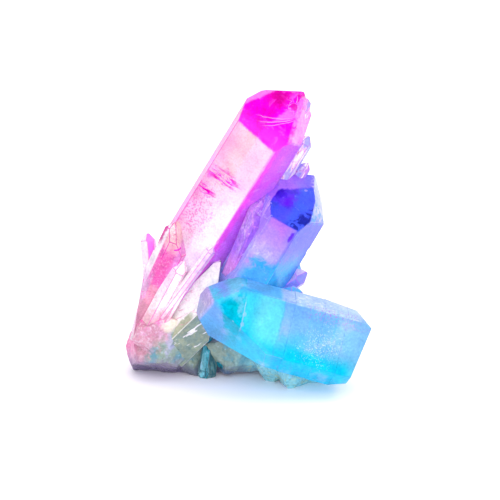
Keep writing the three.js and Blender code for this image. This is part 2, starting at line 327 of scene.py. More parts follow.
class AURA_PG_films(PropertyGroup):
    """The colours of the film on the quartz."""

    white: tint("White", "Uncoated, brightly lit faces", (1, 0.95, 0.98))
    cream: tint("Cream", "Warm patch under the tall point's tip", (1, 0.56, 0.58))
    blush: tint("Blush", "Thin side of the tall point", (0.98, 0.46, 0.7))
    pink: tint("Pink", "Small rosy faces", (0.95, 0.2, 0.58))
    rose: tint("Rose", "Hot pink faces of the small point", (0.95, 0.14, 0.5))
    magenta: tint("Magenta", "The tall point's tip", (1, 0, 0.68))
    crimson: tint("Crimson", "Deepest film at the tips", (0.6, 0, 0.26))
    orchid: tint("Orchid", "The tall point's right side", (0.62, 0.12, 0.9))
    mauve: tint("Mauve", "Faces beside the tips", (0.88, 0.3, 0.8))
    lilac: tint("Lilac", "Soft violet faces", (0.42, 0.16, 0.88))
    lavender: tint("Lavender", "Blunt end of the low point", (0.53, 0.45, 0.84))
    violet: tint("Violet", "Deep violet faces", (0.3, 0.07, 0.85))
    indigo: tint("Indigo", "The middle point's tip", (0.1, 0.02, 0.8))
    navy: tint("Navy", "Specks along the middle point's tip", (0.005, 0.015, 0.25))
    ink: tint("Ink", "Dark spot in the middle point's tip", (0.04, 0, 0.5))
    azure: tint("Azure", "Right half of the middle point's tip", (0.04, 0.1, 0.85))
    periwinkle: tint("Periwinkle", "Blue-violet faces", (0.24, 0.27, 0.88))
    sky: tint("Sky", "Blue faces", (0.08, 0.42, 0.88))
    cyan: tint("Cyan", "Brightest blue-green film", (0, 0.57, 0.86))
    turquoise: tint("Turquoise", "The low point's front", (0.12, 0.52, 0.88))
    teal: tint("Teal", "The low point's tip face", (0, 0.34, 0.46))
    ice: tint("Ice", "Pale blue rims", (0.44, 0.56, 0.82))
    sage: tint("Sage", "Grey-green matrix", (0.27, 0.36, 0.31))
    lichen: tint("Lichen", "Lighter green-yellow of the matrix", (0.42, 0.46, 0.3))
    # Dark teal of the strands in the crevice, partly painted shade of the crevice.
    moss: tint("Moss", "Dark crevices of the matrix", (0.02, 0.12, 0.16))
    mauve_deep: tint("Deep mauve", "Lower corner of the tall point's tip", (1, 0.03, 0.82))
    bloom: tint("Bloom", "Pale veil in the tall point's tip", (0.95, 0.16, 0.88))
    crimson_light: tint("Light crimson", "Edges of the small point", (0.85, 0.02, 0.42))
    violet_deep: tint("Deep violet", "Spots in the middle point", (0.1, 0, 0.75))
    indigo_light: tint("Light indigo", "Right side of the middle point's crown", (0.15, 0.15, 0.86))
    cyan_deep: tint("Deep cyan", "Blotch at the middle point's foot", (0, 0.38, 0.7))
    cyan_light: tint("Light cyan", "Beside the low point's tip", (0.04, 0.66, 0.88))
    sky_light: tint("Light sky", "Middle of the low point", (0.13, 0.46, 0.88))
    periwinkle_light: tint("Light periwinkle", "Panel of the low point", (0.22, 0.38, 0.86))
    powder: tint("Powder blue", "Right half of the low point", (0.17, 0.41, 0.8))
    mist: tint("Mist", "Pale grey-green end of the low point", (0.25, 0.48, 0.72))
    teal_bright: tint("Bright teal", "Middle of the low point's tip", (0, 0.5, 0.64))
    teal_light: tint("Light teal", "Matrix under the low point", (0.08, 0.36, 0.48))
    # Pale patches on the lumps under the low point, partly a painted highlight.
    pale_patch_and_highlight: tint("Light lichen", "Pale flecks of the matrix", (0.5, 0.62, 0.4))
    moss_light: tint("Light moss", "Shaded matrix", (0.12, 0.24, 0.24))
    cream_pale: tint("Pale cream", "Foot of the white sprigs", (1, 0.86, 0.68))
    blush_grey: tint("Greyed blush", "Flecks of the boulder", (0.62, 0.42, 0.55))
    # Painted shade on the boulder's underside.
    boulder_underside_shade: tint("Greyed lavender", "Underside of the boulder", (0.42, 0.26, 0.5))
    fuchsia: tint("Fuchsia", "Middle of the tall point's tip", (0.95, 0, 0.62))
    thistle: tint("Thistle", "Haze on the middle point", (0.46, 0.3, 0.82))
    # Painted shade, darkest on the boulder's lower part.
    boulder_low_shade: tint("Dusk", "Lower right of the boulder", (0.26, 0.19, 0.34))
    haze_lilac: tint("Lilac haze", "Needle and small rims", (0.8, 0.6, 0.9))
    apricot: tint("Apricot", "Foot of the small point", (0.78, 0.38, 0.5))
    petal: tint("Petal", "Right side of the small point", (0.8, 0.46, 0.76))
    wisteria: tint("Wisteria", "Needle beside the tall point", (0.68, 0.42, 0.86))
    # Painted shade along the matrix's underside.
    matrix_bottom_shade: tint("Slate", "Dark underside of the matrix", (0.08, 0.06, 0.18))
    lagoon: tint("Lagoon", "Matrix under the low point", (0.28, 0.7, 0.8))
    cyan_pale: tint("Pale cyan", "Panel beside the low point's tip", (0.14, 0.68, 0.86))
    rosewhite: tint("Rose white", "Faintly rosy faces of the sprigs", (0.98, 0.78, 0.9))
    rose_grey: tint("Greyed rose", "Specks of the boulder", (0.62, 0.16, 0.3))
    salmon: tint("Salmon", "Rosy boulder at the left", (0.56, 0.27, 0.36))


def distance(name, description, metres):
    return FloatProperty(name=name, description=description, default=metres, min=0, unit="LENGTH")


class AURA_PG_sizes(PropertyGroup):
    """The sizes of the cluster's fine shape and of the stage."""

    point_wear: distance("Point edge", "Width worn on a large point's edges", 0.00014)
    sprig_wear: distance("Sprig edge", "Width worn on a sprig's edges", 0.00014)
    matrix_grid: distance("Matrix grid", "Size of the matrix's finest faces", 0.00022)
    matrix_relief: distance("Matrix relief", "Height of the matrix's roughness", 0.0007)
    floor_side: distance("Floor", "Side of the square floor", 6)
    camera_away: distance("Camera distance", "From the camera to its target", 0.35)
    camera_rise: FloatProperty(
        name="Camera rise",
        description="How far the camera looks down",
        default=CAMERA_RISE,
        unit="ROTATION",
    )
    camera_lens: FloatProperty(
        name="Lens", description="Focal length", default=151.2, min=1, unit="CAMERA"
    )


# --- Modelling ---

# The uneven numbers that scatter mixes a place with.
MIX_X, MIX_Y, MIX_Z = 127.1, 311.7, 74.7
MIX_ALL = 43758.5453


def scatter(x, y, z):
    """A repeatable number from 0 to 1 for each place."""
    mixed = math.sin(x * MIX_X + y * MIX_Y + z * MIX_Z) * MIX_ALL
    return mixed - math.floor(mixed)


def between(span, share):
    low, high = span
    return low + (high - low) * share


def deselect_all():
    if bpy.context.mode != "OBJECT":
        bpy.ops.object.mode_set(mode="OBJECT")
    bpy.ops.object.select_all(action="DESELECT")


def pick(piece):
    """Makes a piece the only selected one."""
    deselect_all()
    piece.select_set(True)
    bpy.context.view_layer.objects.active = piece


def apply_places():
    bpy.ops.object.transform_apply(location=True, rotation=True, scale=True)


def finish_modifier(piece, kind, **settings):
    """Adds a modifier to a picked piece and applies it."""
    modifier = piece.modifiers.new(kind.title(), kind)
    for name, value in settings.items():
        setattr(modifier, name, value)
    bpy.ops.object.modifier_apply(modifier=modifier.name)


def own_frame(axis):
    """A point's right, back and up directions."""
    up = Vector(axis).normalized()
    front = (FRONT - up * FRONT.dot(up)).normalized()
    return up.cross(front), -front, up


def face_outward(axis, turn, slope=0.0):
    """A face's outward direction: turned about the axis from the front, and sloped towards the tip."""
    right, back, up = own_frame(axis)
    across = right * math.sin(math.radians(turn)) - back * math.cos(math.radians(turn))
    return across * math.cos(math.radians(slope)) + up * math.sin(math.radians(slope))


def whole_tip(tip):
    """A tip's face, height, slope and extra turn, with the usual slope where none is given."""
    return (*tip, *(TIP_SLOPE, 0)[len(tip) - 2:])


def own_plane(table, facet):
    """A facet's outward direction in its point's own frame, and its reach from the root."""
    if facet < TIP:
        side, slope, extra_turn = facet, 0, 0
        reach = table["prism"][facet]
    else:
        side, height, slope, extra_turn = whole_tip(table["tips"][facet - TIP])
        reach = height * math.sin(math.radians(slope))
    turn = math.radians(table["turn"] + SIDE_TURN * side + extra_turn)
    slope = math.radians(slope)
    across = math.cos(slope)
    return Vector((math.sin(turn) * across, -math.cos(turn) * across, math.sin(slope))), reach


def cleave(place, outward):
    """Cuts the edited piece by a plane, drops what lies outside and closes the cut."""
    bpy.ops.mesh.select_all(action="SELECT")
    bpy.ops.mesh.bisect(
        plane_co=place, plane_no=outward, use_fill=True, clear_outer=True, threshold=CUT_CLOSE
    )


def wear_edges(piece, width):
    """Takes a narrow flat off each edge of the edited piece, which has no hollows."""
    shape = bmesh.from_edit_mesh(piece.data)
    flats = []
    for edge in shape.edges:
        bend = edge.calc_face_angle(0)
        if bend > LEAST_BEND:
            one, other = edge.link_faces
            outward = (one.normal + other.normal).normalized()
            middle = (edge.verts[0].co + edge.verts[1].co) / 2
            depth = width / 2 * math.tan(bend / 2)
            flats.append((middle - outward * depth, outward))
    for place, outward in flats:
        cleave(place, outward)


def long_edges(piece):
    """The edges of the edited piece, each as its ends and its outward direction."""
    shape = bmesh.from_edit_mesh(piece.data)
    edges = []
    for edge in shape.edges:
        if edge.calc_face_angle(0) > LEAST_BEND:
            start, end = (vert.co.copy() for vert in edge.verts)
            edges.append((start, end, sum((face.normal for face in edge.link_faces), Vector())))
    return edges


def chip_places(edges, count, own):
    """Scattered places along edges, each with its edge's outward direction."""
    lengths = [(end - start).length for start, end, outward in edges]
    for i in range(count):
        away = scatter(i, own, 3) * sum(lengths)
        for (start, end, outward), length in zip(edges, lengths):
            if away < length:
                yield start.lerp(end, away / length), outward.normalized()
                break
            away -= length


def chip(piece, places, own, film, finish):
    """Breaks a shallow shell out of the piece at each place."""
    balls = []
    for i, (place, outward) in enumerate(places):
        radius = between(CHIP_RADIUS, scatter(i, own, 4))
        dip = radius * between(CHIP_DIP, scatter(i, own, 5))
        bpy.ops.mesh.primitive_ico_sphere_add(
            subdivisions=CHIP_SPLITS, radius=radius, location=place + outward * (radius - dip)
        )
        ball = bpy.context.object
        ball.name = f"ball_{i}"
        apply_places()
        mark_faces(ball, [(CHIP, UP)], {CHIP: film}, finish, CHIP)
        balls.append(ball)
    if balls:
        combine(piece, balls, "DIFFERENCE")


def mark_faces(piece, planes, films, finish, edge):
    """Gives each face its finish, and the film and facet number of the plane that it lies along.

    A face that lies along none of the planes is an edge and gets that number.
    """
    mesh = piece.data
    mesh.attributes.new("facet", "FLOAT", "FACE")
    mesh.attributes.new("film", "FLOAT_COLOR", "FACE")
    mesh.materials.clear()
    for film in FILMS:
        mesh.materials.append(bpy.data.materials[film.__name__])
    colours = bpy.context.scene.aura_films
    for face in mesh.polygons:
        facet, outward = max(planes, key=lambda plane: plane[1].dot(face.normal))
        worn = outward.dot(face.normal) < OFF_PLANE
        mesh.attributes["facet"].data[face.index].value = edge if worn else facet
        colour = getattr(colours, films[facet])
        mesh.attributes["film"].data[face.index].color = (*colour, 1)
        face.material_index = finish


def hexagonal_bar(name, root, axis, reach, top, buried):
    """A six-sided bar about an axis, wide enough to be cleft to size."""
    middle = Vector(root) + Vector(axis).normalized() * (top - buried) / 2
    tilt = Vector(axis).to_track_quat("Z", "Y").to_euler()
    bpy.ops.mesh.primitive_cylinder_add(
        vertices=SIDES, radius=reach, depth=top + buried, location=middle, rotation=tilt
    )
    bar = bpy.context.object
    bar.name = name
    apply_places()
    bpy.ops.object.mode_set(mode="EDIT")
    return bar


def point(name, table, growth, below, wear):
    """Cleaves a point, or one of its tiers: a fatter sleeve below a height."""
    root = Vector(table["root"])
    axis = Vector(table["axis"]).normalized()
    turn = table["turn"]
    top = max(tip[1] for tip in table["tips"]) * BAR_HEIGHT if below is None else below
    bar = hexagonal_bar(name, root, axis, max(table["prism"]) * BAR_WIDTH, top, table["buried"])
    prism_films, tip_films, rest_film = table["films"]
    films = {REST: rest_film}
    films.update(enumerate(prism_films.split()))
    films.update(enumerate(tip_films.split(), TIP))
    planes = [(REST, -axis), (REST, axis)]
    for side, reach in enumerate(table["prism"]):
        outward = face_outward(axis, turn + SIDE_TURN * side)
        cleave(root + outward * (reach + growth), outward)
        planes.append((side, outward))
    for i, tip in enumerate(table["tips"]):
        side, height, slope, extra_turn = whole_tip(tip)
        outward = face_outward(axis, turn + SIDE_TURN * side + extra_turn, slope)
        cleave(root + axis * height, outward)
        planes.append((TIP + i, outward))
    for place, outward in table.get("breaks", ()):
        cleave(place, Vector(outward))
        planes.append((REST, Vector(outward).normalized()))
    edges = long_edges(bar)
    wear_edges(bar, wear)
    deselect_all()
    mark_faces(bar, planes, films, table["finish"], EDGE if below is None else REST)
    if below is None:
        own = len(table["tips"]) + root.x
        places = [*chip_places(edges, table.get("chips", 0), own)]
        for place, outward in table.get("nicks", ()):
            places.append((Vector(place), Vector(outward).normalized()))
        chip(bar, places, own, rest_film, table["finish"])
    return bar


def sprig(name, table, wear):
    """Cleaves a sprig: a small point whose left and right faces have their own films."""
    foot, tip, reach, turn, left_film, right_film = table
    axis = Vector(tip) - Vector(foot)
    length = axis.length
    films = " ".join([right_film] * 3 + [left_film] * 3)
    whole = dict(
        root=foot,
        axis=axis,
        turn=turn,
        buried=0,
        prism=[share * reach for share in SPRIG_REACH],
        tips=[
            (side, length * SPRIG_TOP + (share - 1) * reach * SPRIG_SPREAD)
            for side, share in enumerate(SPRIG_TIP)
        ],
        films=(films, films, left_film),
        finish=SPRIG,
    )
    return point(name, whole, 0, None, wear)


def lump(name, middle, half, own, *breaks):
    """A lump of matrix: a ball broken to flats, stretched to its half sizes."""
    bpy.ops.mesh.primitive_ico_sphere_add(subdivisions=LUMP_SPLITS, radius=1)
    ball = bpy.context.object
    ball.name = name
    bpy.ops.object.mode_set(mode="EDIT")
    for i in range(LUMP_FLATS):
        polar = math.acos(1 - 2 * (i + 0.5) / LUMP_FLATS)
        around = i * GOLDEN_TURN + own + scatter(i, own, 1)
        ring = math.sin(polar)
        outward = Vector((ring * math.sin(around), math.cos(polar), ring * math.cos(around)))
        cleave(outward * between(LUMP_FLAT_REACH, scatter(i, own, 2)), outward)
    bpy.ops.object.mode_set(mode="OBJECT")
    ball.scale = half
    ball.location = middle
    apply_places()
    bpy.ops.object.mode_set(mode="EDIT")
    for place, outward in breaks:
        cleave(place, outward)
    deselect_all()
    return ball


def combine(whole, parts, operation):
    """Adds parts to whole or takes them from it, and drops them."""
    group = bpy.data.collections.new("parts")
    bpy.context.scene.collection.children.link(group)
    for part in parts:
        group.objects.link(part)
    pick(whole)
    finish_modifier(
        whole,
        "BOOLEAN",
        operation=operation,
        solver="MANIFOLD",
        operand_type="COLLECTION",
        collection=group,
    )
    for part in parts:
        bpy.data.objects.remove(part)
    bpy.data.collections.remove(group)


def cloud(name, kind, size):
    """A texture that a Displace modifier reads."""
    texture = bpy.data.textures.new(name, kind)
    texture.noise_scale = size
    return texture


class AURA_OT_finishes(Operator):
    """Makes the films' and the matrix's materials"""

    bl_idname = "aura.finishes"
    bl_label = "Mix the finishes"
    bl_options = {"REGISTER", "UNDO"}

    def execute(self, context):
        for film in FILMS:
            film(Film(film.__name__))
        return {"FINISHED"}


class AURA_OT_points(Operator):
    """Cleaves the large points, each with its tiers"""

    bl_idname = "aura.points"
    bl_label = "Cleave the points"
    bl_options = {"REGISTER", "UNDO"}

    def execute(self, context):
        wear = context.scene.aura_sizes.point_wear / MM
        deselect_all()
        for name, table in POINTS.items():
            point("point_" + name, table, 0, None, wear)
            for i, (height, growth) in enumerate(table.get("tiers", ())):
                point(f"point_{name}_tier_{i}", table, growth, height, wear)
        return {"FINISHED"}


class AURA_OT_sprigs(Operator):
    """Cleaves the small points that fan out around the large ones"""

    bl_idname = "aura.sprigs"
    bl_label = "Cleave the sprigs"
    bl_options = {"REGISTER", "UNDO"}

    def execute(self, context):
        wear = context.scene.aura_sizes.sprig_wear / MM
        deselect_all()
        for name, table in SPRIGS.items():
            sprig("sprig_" + name, table, wear)
        return {"FINISHED"}


class AURA_OT_matrix(Operator):
    """Breaks and roughens the lumps of matrix, and grows them together"""

    bl_idname = "aura.matrix"
    bl_label = "Break the matrix"
    bl_options = {"REGISTER", "UNDO"}

    def execute(self, context):
        sizes = context.scene.aura_sizes
        relief = sizes.matrix_relief / MM
        deselect_all()
        matrix, *others = (lump(f"lump_{i}", *table) for i, table in enumerate(LUMPS))
        combine(matrix, others, "UNION")
        matrix.name = "matrix"
        finish_modifier(matrix, "REMESH", mode="VOXEL", voxel_size=sizes.matrix_grid / MM)
        for kind, size, share in RELIEF:
            finish_modifier(
                matrix,
                "DISPLACE",
                texture=cloud(f"relief_{size}", kind, size),
                texture_coords="LOCAL",
                strength=relief * share,
                mid_level=RELIEF_MIDDLE,
            )
        mark_faces(matrix, [(REST, UP)], {REST: "sage"}, MATRIX, REST)
        return {"FINISHED"}


class AURA_OT_cluster(Operator):
    """Grows the points, the sprigs and the matrix together into the one piece of the cluster"""

    bl_idname = "aura.cluster"
    bl_label = "Grow the cluster"
    bl_options = {"REGISTER", "UNDO"}

    def execute(self, context):
        parts = [piece for piece in bpy.data.objects if piece.name.startswith(("point_", "sprig_"))]
        cluster = bpy.data.objects["matrix"]
        combine(cluster, parts, "UNION")
        cluster.name = "aura_cluster"
        bpy.ops.object.mode_set(mode="EDIT")
        cleave((0, 0, 0), -UP)
        deselect_all()
        pick(cluster)
        cluster.location = -BASE_CENTRE * MM
        cluster.scale = (MM, MM, MM)
        apply_places()
        bpy.ops.object.shade_smooth_by_angle(angle=SMOOTH_BELOW)
        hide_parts(NODE)
        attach(cluster, BODY)
        return {"FINISHED"}


# --- Finishes ---

CLEAR_IOR = 1.545
MILKY = {"Roughness": 0.25, "IOR": 1.4}
RELIEF_BUMP = 0.4
RELIEF_DEPTH = 0.0001
# How far the fine noise darkens and lightens a film, between these two of its values.
GRAIN_NOISE = (0.3, 0.7)
GRAIN_SHADE = (0.84, 1.12)
HAZE = {"Color": (0.9, 0.82, 0.95, 1), "Density": 6}
# The share of the light that passes a point and tints its shadow.
LIGHT_THROUGH = 0.65
# Facet numbers closer than this are the same.
SAME_FACET = 0.4
# How much a slanted pattern changes towards the back, to how much it does across.
SLANTED_BACK = 0.3


class Value:
    """An output of a node, so that sums, products and masks can be written plainly."""

    def __init__(self, finish, socket):
        self.finish = finish
        self.socket = socket

    def maths(self, operation, *values):
        return self.finish.node("ShaderNodeMath", {"operation": operation}, dict(enumerate(values)))

    def __add__(self, other):
        return self.maths("ADD", self, other)

    def __sub__(self, other):
        return self.maths("SUBTRACT", self, other)

    def __rsub__(self, other):
        return self.maths("SUBTRACT", other, self)

    def __mul__(self, other):
        return self.maths("MULTIPLY", self, other)

    def __truediv__(self, other):
        return self.maths("DIVIDE", self, other)

    __radd__ = __add__
    __rmul__ = __mul__

    def either(self, other):
        """The larger of two values, so two masks in one."""
        return self.maths("MAXIMUM", self, other)

    def rise(self, low, high):
        """Goes smoothly from 0 to 1 as this goes from low to high, or back where low is the higher."""
        return self.finish.node(
            "ShaderNodeMapRange",
            {"interpolation_type": "SMOOTHSTEP"},
            {"Value": self, "From Min": low, "From Max": high},
        )

    def line(self, width):
        """1 within a third of the width of 0, and 0 from the width on."""
        return self.maths("ABSOLUTE", self).rise(width, width / 3)

    def coat(self, colour, share=1):
        """Lays a colour over the film where this is 1, or a share of it."""
        self.finish.coat(colour, self * share)


class Finish:
    """A material whose nodes are added one expression at a time."""

    def __init__(self, name):
        self.material = bpy.data.materials.new(name)
        self.material.use_nodes = True
        self.tree = self.material.node_tree
        self.tree.nodes.clear()

    def node(self, kind, settings=None, sockets=None, output=0):
        """Adds a node, with its settings first and then the values or links of its sockets."""
        node = self.tree.nodes.new(kind)
        for name, value in (settings or {}).items():
            setattr(node, name, value)
        for name, value in (sockets or {}).items():
            if isinstance(value, Value):
                self.tree.links.new(value.socket, node.inputs[name])
            else:
                node.inputs[name].default_value = value
        return Value(self, node.outputs[output])

    def vector(self, operation, *values, output=0):
        settings = {"operation": operation}
        return self.node("ShaderNodeVectorMath", settings, dict(enumerate(values)), output)

    def close(self, surface):
        out = self.tree.nodes.new("ShaderNodeOutputMaterial")
        self.tree.links.new(surface.socket, out.inputs["Surface"])
        return out


class Film(Finish):
    """A finish that is laid coat by coat over the colours that the faces carry.

    Places and widths are in millimetres, for the film of a point in that point's own frame.
    """

    def __init__(self, name):
        super().__init__(name)
        self.colours = bpy.context.scene.aura_films
        self.point = POINTS.get(name.removesuffix("_film"))
        self.colour = self.attribute("film", "Color")
        spot = self.node("ShaderNodeTexCoord", output="Object")
        if not self.point:
            self.place = self.vector("MULTIPLY", spot, (1 / MM, 1 / MM, 1 / MM))
            return
        right, back, up = own_frame(self.point["axis"])
        self.place = self.node(
            "ShaderNodeMapping",
            {"vector_type": "TEXTURE"},
            {
                "Vector": spot,
                "Location": (Vector(self.point["root"]) - BASE_CENTRE) * MM,
                "Rotation": Matrix((right, back, up)).transposed().to_euler(),
                "Scale": (MM, MM, MM),
            },
        )

    def attribute(self, name, output):
        return self.node("ShaderNodeAttribute", {"attribute_name": name}, output=output)

    def parts(self, letters="XZ"):
        return [self.node("ShaderNodeSeparateXYZ", None, {0: self.place}, part) for part in letters]

    def facet(self, number):
        """1 on the faces with that facet number, 0 elsewhere."""
        here = self.attribute("facet", "Fac")
        return here.maths("COMPARE", here, number, SAME_FACET)

    def face(self, facet, soft=0.3, wander=0.0):
        """1 on a face, and 0 from where it lies soft below its plane; wander makes that uneven."""
        outward, reach = own_plane(self.point, facet)
        out = self.vector("DOT_PRODUCT", self.place, outward, output="Value")
        return (reach - out + wander).rise(soft, soft / 5)

    def slanted(self, across, length):
        """Coordinates that run length times further along lines than across them.

        They are lines on which x * across[0] + z * across[1] is even.
        """
        right, back, up = self.parts("XYZ")
        x, z = Vector(across).normalized()
        parts = {0: (right * z - up * x) / length, 1: right * x + up * z, 2: back * SLANTED_BACK}
        return self.node("ShaderNodeCombineXYZ", None, parts)

    def spot(self, middle, half, soft=0.6, wander=0.0):
        """A soft spot that fades to 0 at its half sizes; wander makes its outline uneven."""
        share = self.vector("DIVIDE", self.vector("SUBTRACT", self.place, middle), half)
        return (self.vector("LENGTH", share, output="Value") + wander).rise(1, 1 - soft)

    def noise(self, scale, detail=3, distortion=0, stretch=(1, 1, 1), place=None):
        """Cloudy noise from 0 to 1; stretch is how much longer it runs along each direction."""
        shrunk = self.vector("DIVIDE", place or self.place, stretch)
        sockets = {"Vector": shrunk, "Scale": scale, "Detail": detail, "Distortion": distortion}
        return self.node("ShaderNodeTexNoise", None, sockets)

    def noises(self, fine, *others):
        """A fine noise, and others that go from -0.5 to 0.5."""
        return self.noise(*fine), *(self.noise(*other) - 0.5 for other in others)

    def mix(self, mask, one, other):
        """One colour where the mask is 0, the other where it is 1; a name is a film's colour."""
        sockets = {0: mask}
        for socket, colour in ((6, one), (7, other)):
            named = isinstance(colour, str)
            sockets[socket] = (*getattr(self.colours, colour), 1) if named else colour
        return self.node("ShaderNodeMix", {"data_type": "RGBA"}, sockets, 2)

    def coat(self, colour, mask):
        self.colour = self.mix(mask, self.colour, colour)

    def quartz(self, milk, relief, tint=(1, 1, 1), gloss=0.07, through=None):
        """Clear quartz mixed with a share of milky quartz, both under the film.

        through is the colour of the light that a shadow lets past, for points that shine through.
        """
        shade = self.node(
            "ShaderNodeMapRange", None, dict(enumerate((relief, *GRAIN_NOISE, *GRAIN_SHADE)))
        )
        bump = {"Strength": RELIEF_BUMP, "Distance": RELIEF_DEPTH, "Height": relief}
        both = {
            "Base Color": self.vector("MULTIPLY", self.colour, shade),
            "Specular Tint": (*tint, 1),
            "Normal": self.node("ShaderNodeBump", None, bump),
        }
        glassy = {"Roughness": gloss, "IOR": CLEAR_IOR, "Transmission Weight": 1}
        clear = self.node("ShaderNodeBsdfPrincipled", None, {**both, **glassy})
        milky = self.node("ShaderNodeBsdfPrincipled", None, {**both, **MILKY})
        surface = self.node("ShaderNodeMixShader", None, {0: milk, 1: clear, 2: milky})
        if through:
            past = self.node("ShaderNodeBsdfTransparent", None, {"Color": (*through, 1)})
            shadow = self.node("ShaderNodeLightPath", output="Is Shadow Ray") * LIGHT_THROUGH
            surface = self.node("ShaderNodeMixShader", None, {0: shadow, 1: surface, 2: past})
        haze = self.node("ShaderNodeVolumeAbsorption", None, HAZE)
        self.tree.links.new(haze.socket, self.close(surface).inputs["Volume"])


def main_film(film):
    """The tall point: magenta tip, peach to white front with rosy specks, orchid right side."""
    right, along = film.parts()
    edge, chips = film.facet(EDGE), film.facet(CHIP)
    grit, cloudy, patchy = film.noises((3.4, 8), (0.25, 5), (0.8, 7, 0.8))
    front = film.face(0)
    side = film.face(1)
    left = film.face(5)
    tip = film.face(TIP, soft=0.5, wander=patchy * 0.5)
    shoulder = film.face(TIP + 1)
    speck = film.noise(3.2, detail=3)
    streak = film.noise(2.2, detail=4, distortion=0.2, place=film.slanted((-0.08, 1), 8))
    rosy = film.spot((-4.4, -3, 15.8), (6.4, 5, 8.5), soft=1, wander=patchy)
    upper = film.spot((-2.8, -4, 23.6), (4.6, 3, 1.9), soft=0.8, wander=patchy)
    lower = film.spot((-4, -3, 20.2), (2.4, 3, 1.5), soft=0.8, wander=patchy)
    gash = streak.rise(0.48, 0.53).either((streak - 0.42).line(0.02))
    gash = gash * upper.either(lower)
    dense = film.spot((-4.6, -3, 23), (1.7, 3, 1.5), soft=0.8, wander=patchy)
    others = 1 - front
    fold = along - right * 0.6 - right * right * 0.05 - 35.6
    veil = (along - right * 1.82 + patchy * 2.4).rise(36.6, 35.6) * fold.rise(0, 0.4)
    folds = (fold + cloudy * 0.8).line(0.1) + (fold + cloudy * 1.6 - right * 0.14 + 0.6).line(0.08)
    folds = folds + (fold + cloudy * 1.2 + right * 0.12 - 0.5).line(0.06)
    folds = folds * film.spot((0.2, -2, 36), (4, 3, 2.4), soft=0.5)
    cracks = (film.noise(0.8, detail=2, distortion=0.6) - 0.5).line(0.025)
    broken = film.spot((2, 0.8, 39.4), (2.4, 3, 3.2), soft=0.6)
    top = film.spot((-0.9, 0.7, 38.9), (3.2, 3, 2), soft=1, wander=patchy)
    thin = (along - right * 1.145 + patchy * 0.8).rise(41.4, 42)
    others.coat("bloom", cloudy.rise(0.02, 0.2) * 0.4)
    others.coat("fuchsia", cloudy.rise(-0.04, -0.2) * 0.35)
    others.coat("white", patchy.rise(0.08, 0.25) * 0.2)
    front.coat("cream", (along + cloudy * 9 - right * 0.5).rise(18, 26) * 0.8)
    front.coat("blush", (right + cloudy * 4).rise(-2.2, -5.4) * 0.8)
    front.coat("blush", cloudy.rise(0.05, 0.25) * 0.35)
    front.coat("blush", rosy * 0.55)
    front.coat("pink", rosy * speck.rise(0.5, 0.58) * 0.85)
    front.coat("pink", speck.rise(0.58, 0.64) * 0.15)
    front.coat("magenta", dense * patchy.rise(-0.1, 0.1) * 0.7)
    front.coat("magenta", gash)
    front.coat("crimson", gash * streak.rise(0.56, 0.62) * 0.7)
    side.coat("lilac", (right + cloudy * 3).rise(3.9, 5.2) * 0.6)
    side.coat("lilac", (along + cloudy * 5).rise(24, 16) * 0.3)
    side.coat("wisteria", (along + cloudy * 5).rise(14, 6) * 0.5)
    side.coat("magenta", (right + patchy).rise(3.4, 2.6) * 0.35)
    left.coat("pink", (along + cloudy * 8).rise(24, 10) * 0.5)
    tip.coat("magenta")
    tip.coat("mauve_deep", (along + cloudy * 2).rise(35.5, 33))
    tip.coat("fuchsia", film.spot((-1.6, -0.6, 37.2), (4.5, 4, 3.2), soft=1, wander=patchy) * 0.7)
    tip.coat("bloom", patchy.rise(0.04, 0.22) * 0.4)
    tip.coat("crimson", patchy.rise(-0.04, -0.22) * 0.35)
    tip.coat("crimson", top)
    tip.coat("mauve", thin * 0.75)
    tip.coat("bloom", veil * right.rise(-0.6, 0.6) * 0.9)
    tip.coat("blush", folds * 0.7)
    tip.coat("magenta", broken * 0.5)
    tip.coat("crimson", broken * patchy.rise(0, 0.12) * 0.7)
    tip.coat("bloom", broken * patchy.rise(-0.05, -0.15) * 0.5)
    tip.coat("blush", broken * cracks * 0.7)
    chips.coat("magenta", along.rise(34, 36) * 0.8)
    chips.coat("crimson", patchy.rise(0, 0.1) * along.rise(34, 36) * 0.6)
    tip.coat("crimson_light", right.rise(3.1, 3.5) * patchy.rise(-0.1, 0.1) * 0.6)
    shoulder.coat("white", 0.2 + patchy)
    edge.coat("crimson_light", right.rise(-2.4, -4.4) * (1 - tip) * 0.8)
    edge.coat("mauve", right.rise(-2.4, 0) * (1 - tip) * 0.35)
    film.quartz(0.6 + cloudy * 0.8, grit, tint=(1, 0.03, 0.7), through=(1, 0.75, 0.95))


